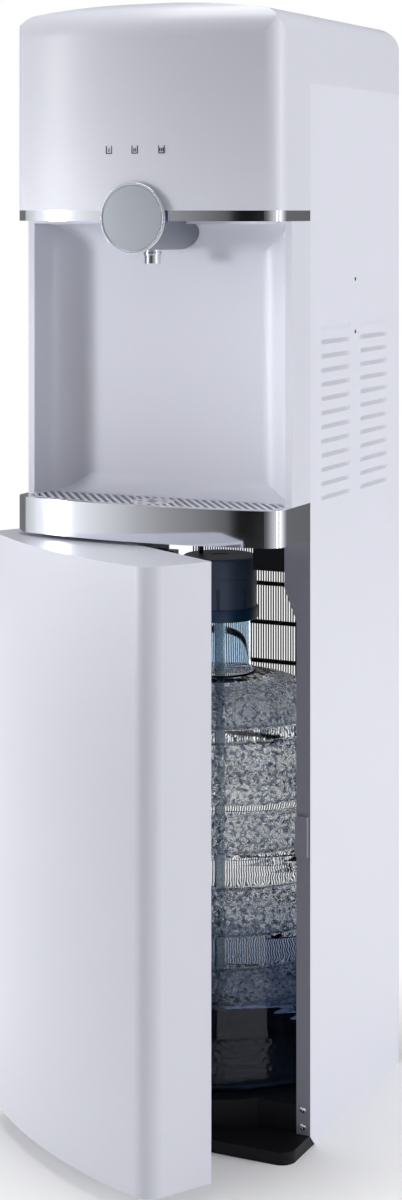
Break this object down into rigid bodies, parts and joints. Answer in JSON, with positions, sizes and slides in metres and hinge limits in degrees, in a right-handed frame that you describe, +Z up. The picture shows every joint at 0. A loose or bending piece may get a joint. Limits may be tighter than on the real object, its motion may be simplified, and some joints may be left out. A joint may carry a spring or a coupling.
{
  "type": "bottom load water cooler",
  "caption": "Free-standing bottom load water cooler with an open bowed door, bottle bay, push tap in an alcove, drip tray and rear condenser.",
  "frame": {"origin": "on the floor, at the middle of the base's footprint", "axes": "+Z up; the front, with the tap and the door, faces -Y; +X is to the right of a viewer in front"},
  "size_m": [0.3219, 0.4708, 1.141],
  "materials": {
    "white_plastic": "glossy moulded shell",
    "white_steel": "smooth powder coat",
    "post_grey": "satin paint",
    "black_plastic": "fine moulded texture",
    "chrome": "bright plated",
    "disc_face": "satin grey-blue",
    "tray_grey": "satin",
    "plated_steel": "zinc plated",
    "bottle_blue": "clear, ribbed",
    "probe_navy": "satin",
    "tube_clear": "clear tube",
    "rubber_black": "matt",
    "black_enamel": "satin enamel",
    "copper": "drawn tube",
    "tank_steel": "brushed",
    "foam": "expanded beads",
    "board_green": "solder mask",
    "fitting_white": "moulded",
    "switch_red": "moulded",
    "switch_green": "moulded",
    "icon_grey": "printed inlay"
  },
  "bodies": {
    "cabinet": {"base": "black_plastic", "bottle_platform": "black_plastic", "side_panel_left": "white_steel", "side_panel_right": "white_steel", "door_post_left": "post_grey", "door_post_right": "post_grey", "bay_deck": "plated_steel", "tank_shelf": "plated_steel", "rear_panel": "white_steel", "cabinet_screws": "plated_steel", "tray_bezel": "chrome", "alcove_liner": "white_plastic", "head_cover": "white_plastic", "key_icons": "icon_grey", "chrome_band": "chrome", "head_floor": "white_plastic", "control_board": "board_green", "tap_housing": "disc_face", "nozzle": "chrome", "microswitch": "black_plastic", "strike_plate": "post_grey", "upper_hinge_pin": "plated_steel", "lower_hinge_pin": "plated_steel", "hinge_washer": "fitting_white", "bottle": "bottle_blue", "probe_hose": "rubber_black", "hose_grommet": "rubber_black", "probe_hanger": "black_plastic", "compressor": "black_enamel", "compressor_mounts": "rubber_black", "relay_box": "black_plastic", "pump": "fitting_white", "pump_lines": "tube_clear", "cold_tank": "tank_steel", "tank_insulation": "foam", "evaporator_coil": "copper", "hot_tank_stand": "plated_steel", "hot_tank": "tank_steel", "heater_band": "tank_steel", "thermostats": "black_plastic", "outlet_valves": "fitting_white", "outlet_feeds": "tube_clear", "condenser_tube": "black_enamel", "condenser_wires": "black_enamel", "condenser_brackets": "black_enamel", "switch_bezel": "black_plastic", "cord_gland": "black_plastic", "drain_plug": "fitting_white"},
    "door": {"door_shell": "white_plastic", "door_liner": "white_plastic", "door_catch": "fitting_white"},
    "button": {"push_disc": "disc_face", "disc_ring": "chrome", "button_spring": "plated_steel"},
    "basin": {"drip_basin": "tray_grey"},
    "grille": {"drip_grille": "tray_grey"},
    "probe": {"probe_cap": "probe_navy", "dip_tube": "tube_clear"},
    "hot_rocker": {"hot_switch": "switch_red"},
    "cold_rocker": {"cold_switch": "switch_green"}
  },
  "joints": [
    {"name": "door_hinge", "type": "hinge", "parent": "cabinet", "child": "door", "pos_m": [-0.1418, -0.1139, 0.3], "axis": [0, 0, -1], "range_deg": [-30.92, 84]},
    {"name": "button_push", "type": "slide", "parent": "cabinet", "child": "button", "axis": [0, 1, 0], "range_m": [0, 0.0022], "stiffness_N_per_m": 1500},
    {"name": "basin_lift", "type": "slide", "parent": "cabinet", "child": "basin", "axis": [0, 0, 1], "range_m": [0, 0.034]},
    {"name": "grille_lift", "type": "slide", "parent": "basin", "child": "grille", "axis": [0, 0, 1], "range_m": [0, 0.03]},
    {"name": "probe_lift", "type": "slide", "parent": "cabinet", "child": "probe", "axis": [0, 0, 1], "range_m": [0, 0.03], "deforming": ["probe_hose"]},
    {"name": "hot_rock", "type": "hinge", "parent": "cabinet", "child": "hot_rocker", "pos_m": [0.093, 0.1516, 0.98], "axis": [1, 0, 0], "range_deg": [-9, 9]},
    {"name": "cold_rock", "type": "hinge", "parent": "cabinet", "child": "cold_rocker", "pos_m": [0.067, 0.1516, 0.98], "axis": [1, 0, 0], "range_deg": [-9, 9]}
  ]
}
